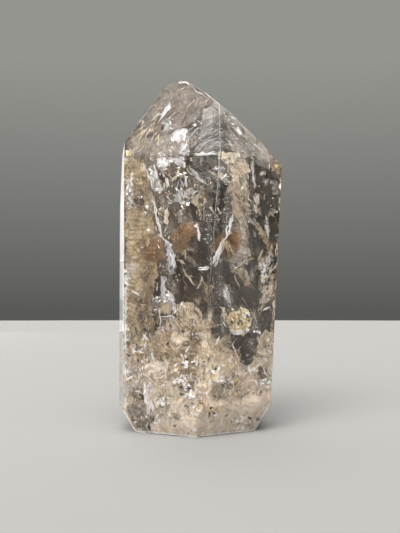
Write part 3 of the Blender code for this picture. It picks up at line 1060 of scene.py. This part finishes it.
def ramp_node(tree, value, low, high, low_result=0.0, high_result=1.0):
    """Spread the values between low and high over the wanted range."""
    spread = add_node(tree, "MapRange", {"Value": value, "From Min": low, "From Max": high,
                                         "To Min": low_result, "To Max": high_result})
    spread.interpolation_type = "SMOOTHSTEP"
    return spread.outputs["Result"]


def bump_node(tree, height, strength, distance):
    bump = add_node(tree, "Bump", {"Height": height, "Strength": strength, "Distance": distance})
    return bump.outputs["Normal"]


def maths(tree, operation, first, second):
    node = add_node(tree, "Math", {0: first, 1: second})
    node.operation = operation
    return node.outputs["Value"]


def mixed(tree, share, first, second):
    """Two shaders mixed, with so much of the second."""
    return add_node(tree, "MixShader", {"Fac": share, 1: first.outputs[0], 2: second.outputs[0]})


def film_material(name, light, shade, cover, gloss, holes, edges):
    """A milky film: part diffuse, part glossy, with ragged holes that let the light through."""
    material, tree = new_material(name + "_film")
    clouds = ramp_node(tree, noise_node(tree, *CLOUDS), *CLOUD_EDGES)
    tone = add_node(tree, "ValToRGB", {"Fac": clouds})
    for stop, colour in zip(tone.color_ramp.elements, (shade, light)):
        stop.color = (*colour, 1)
    colour = tone.outputs["Color"]
    normal = bump_node(tree, noise_node(tree, *FILM_GRAIN), *FILM_BUMP)
    diffuse = add_node(tree, "BsdfDiffuse", {"Color": colour, "Normal": normal})
    through = add_node(tree, "BsdfTranslucent", {"Color": colour, "Normal": normal})
    shine = add_node(tree, "BsdfGlossy", {"Roughness": FILM_ROUGHNESS, "Normal": normal})
    milky = mixed(tree, THROUGH_SHARE, diffuse, through)
    glossed = mixed(tree, gloss, milky, shine)
    fineness, thin, whole = edges
    veil = noise_node(tree, fineness, *VEIL)
    present = ramp_node(tree, veil, thin, whole, cover * (1 - holes), cover)
    clear = add_node(tree, "BsdfTransparent", {})
    add_node(tree, "OutputMaterial", {"Surface": mixed(tree, present, clear, glossed).outputs["Shader"]})
    return material


def gap_material():
    """An open crack filled with air: clear head on, a mirror at a slant."""
    material, tree = new_material("gap_film")
    normal = bump_node(tree, noise_node(tree, *GAP_GRAIN), *GAP_BUMP)
    behind = add_node(tree, "NewGeometry", {}).outputs["Backfacing"]
    ior = maths(tree, "ADD", maths(tree, "MULTIPLY", behind, QUARTZ_IOR - GAP_IOR), GAP_IOR)
    fresnel = add_node(tree, "Fresnel", {"IOR": ior, "Normal": normal})
    clear = add_node(tree, "BsdfTransparent", {})
    shine = add_node(tree, "BsdfGlossy", {"Roughness": GAP_ROUGHNESS, "Normal": normal})
    mirror = mixed(tree, fresnel.outputs["Fac"], clear, shine)
    add_node(tree, "OutputMaterial", {"Surface": mirror.outputs["Shader"]})
    return material


def quartz():
    """Clear, faintly smoky quartz with a hand polish that is not quite even."""
    material, tree = new_material("clear_quartz")
    shader = add_node(tree, "BsdfPrincipled", {
        "Base Color": (1, 1, 1, 1),
        "IOR": QUARTZ_IOR,
        "Transmission Weight": 1.0,
        "Roughness": ramp_node(tree, noise_node(tree, *POLISH), *POLISH_EDGES, 0.0, QUARTZ_ROUGHNESS),
        "Normal": bump_node(tree, noise_node(tree, *QUARTZ_GRAIN), *QUARTZ_BUMP),
    })
    absorb = add_node(tree, "VolumeAbsorption", {"Color": SMOKE_COLOUR, "Density": SMOKE_DENSITY})
    add_node(tree, "OutputMaterial", {"Surface": shader.outputs["BSDF"], "Volume": absorb.outputs["Volume"]})
    return material


# All the films together

def fill_films(films):
    """Draw every plate, stain, streak, spot and chip into the film that it is made of."""
    rng = random.Random(SEED)
    for name, depth, outline in PLATES:
        width = math.sqrt(area(outline))
        tilt = (rng.gauss(0, PLATE_TILT / width), rng.gauss(0, PLATE_TILT / width))
        add_plate(films[name], outline, depth, tilt, PLATE_ROUGH + PLATE_ROUGH_GROWTH * width, rng)
        if name in CRISP_FILMS:
            mix = {name: CRISP_OWN, **CRISP_MIX}
            count = round(area(outline) / CRISP_AREA)
            depths = (max(CRISP_LAYER, depth - CRISP_LAYER), depth)
            add_splinters(films, mix, count, CRISP_SIZES, CRISP_AIM, depths, outline, rng)
    for name, depth, outline in STAINS:
        for layer, share in enumerate(STAIN_SHARES):
            place = depth + STAIN_LAYER * layer
            add_plate(films[name], scaled(outline, share), place, LEVEL, SOFT_ROUGH, rng)
    for name, depth, width, path in STREAKS:
        add_crack(films[name], path, width, depth, rng)
    for name, depth, size, places in SPOTS:
        for x, y in places:
            outline = splinter_outline(x, y, size * rng.uniform(*SPOT_SIZE), rng.uniform(0, math.pi), rng)
            add_plate(films[name], outline, depth, LEVEL, SPOT_ROUGH, rng, SPOT_GRID)
    for mix, count, sizes, direction, spread, depths, zone in SPLINTERS:
        add_splinters(films, mix, count, sizes, (direction, spread), depths, zone, rng)
    for name, count, sizes, depths, zone in FLAKES:
        add_flakes(films[name], zone, count, sizes, depths, rng)
    for mix, count, lengths, widths, direction, spread, depths, zone in BUNDLES:
        add_bundle(films, mix, count, lengths, widths, (direction, spread), depths, zone, rng)
    for centre, reach, turns, count in FANS:
        add_fan(films, PALE_RIBS, centre, reach, turns, count, rng)
    # Clusters of painted glints.
    for (x, y), reach, count in SPARKLES:
        zone = [(x - reach, y), (x, y - reach), (x + reach, y), (x, y + reach)]
        add_splinters(films, SPARKLE_MIX, count, SPARKLE_SIZES, SPARKLE_AIM, SPARKLE_DEPTHS, zone, rng)
    # The painted highlight along the foot's edges.
    for path in RIM_HIGHLIGHT:
        add_streak(films["bright"], path, RIM_HIGHLIGHT_WIDTH, RIM_HIGHLIGHT_DEPTH, 0.0, rng)
    for depth in VEIL_DEPTHS:
        add_plate(films["milk"], LOW_VEIL, depth, LEVEL, SOFT_ROUGH, rng)


def build_films():
    films = {name: {"points": [], "faces": []} for name in [*FILMS, "gap"]}
    fill_films(films)
    for name, film in films.items():
        mesh = bpy.data.meshes.new("fractures_" + name)
        mesh.from_pydata([tuple(point) for point in film["points"]], [], film["faces"])
        mesh.materials.append(gap_material() if name == "gap" else film_material(name, *FILMS[name]))
        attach(add_object("fractures_" + name, mesh), "root")


# The studio

def make_floor():
    material, tree = new_material("floor")
    shader = add_node(tree, "BsdfPrincipled", {"Base Color": FLOOR_COLOUR, "Roughness": FLOOR_ROUGHNESS})
    add_node(tree, "OutputMaterial", {"Surface": shader.outputs["BSDF"]})
    bm = bmesh.new()
    bmesh.ops.create_circle(bm, cap_ends=True, segments=FLOOR_CORNERS, radius=FLOOR_RADIUS)
    mesh = bpy.data.meshes.new("floor")
    bm.to_mesh(mesh)
    bm.free()
    mesh.materials.append(material)
    floor = add_object("floor", mesh)
    floor.location.z = -FLOOR_DROP * MM


def glow(tree, way, direction, sharpness, strength):
    """A soft bright patch on the studio's walls around one direction."""
    spread = add_node(tree, "VectorMath", {0: way, 1: Vector(direction).normalized()})
    spread.operation = "DOT_PRODUCT"
    front = maths(tree, "MAXIMUM", spread.outputs["Value"], 0.0)
    patch = maths(tree, "POWER", front, sharpness)
    return maths(tree, "MULTIPLY", patch, strength)


def make_world():
    world = bpy.data.worlds.new("studio")
    world.use_nodes = True
    tree = world.node_tree
    way = add_node(tree, "TexCoord", {}).outputs["Generated"]
    height = add_node(tree, "SeparateXYZ", {0: way}).outputs["Z"]
    wall = add_node(tree, "ValToRGB", {"Fac": height})
    for stop, (position, colour) in zip(wall.color_ramp.elements, WALL):
        stop.position = position
        stop.color = colour
    light = 0.0
    for direction, sharpness, strength in GLOWS:
        light = maths(tree, "ADD", light, glow(tree, way, direction, sharpness, strength))
    # The glows light the crystal and show in it, but the plain wall behind it hides them.
    direct = add_node(tree, "LightPath", {}).outputs["Is Camera Ray"]
    light = maths(tree, "MULTIPLY", light, maths(tree, "SUBTRACT", 1.0, direct))
    both = add_node(tree, "VectorMath", {0: wall.outputs["Color"], 1: light})
    both.operation = "ADD"
    tree.links.new(both.outputs["Vector"], tree.nodes["Background"].inputs["Color"])
    bpy.context.scene.world = world


def make_cards():
    """Soft cards behind and to the left, which only the crystal shows."""
    for name, place, size, colour, power in CARDS:
        data = bpy.data.lights.new(name, "AREA")
        data.shape = "RECTANGLE"
        data.size, data.size_y = size
        data.color = colour
        data.energy = power
        card = add_object(name, data)
        card.location = place
        card.rotation_euler = (Vector((0, 0, place[2])) - Vector(place)).to_track_quat("-Z", "Y").to_euler()
        card.visible_camera = False


def light_paths():
    scene = bpy.context.scene
    scene.view_settings.view_transform = "Standard"
    cycles = scene.cycles
    cycles.max_bounces = 24
    cycles.transmission_bounces = 20
    cycles.glossy_bounces = 12
    cycles.transparent_max_bounces = 64
    cycles.diffuse_bounces = 4
    cycles.caustics_reflective = True
    cycles.caustics_refractive = True
    cycles.blur_glossy = 0.3
    cycles.sample_clamp_indirect = 6.0


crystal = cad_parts["crystal"]
crystal.data.materials.clear()
crystal.data.materials.append(quartz())
crystal_faces = main_faces(crystal.data)

make_camera()
build_films()
make_floor()
make_world()
make_cards()
light_paths()
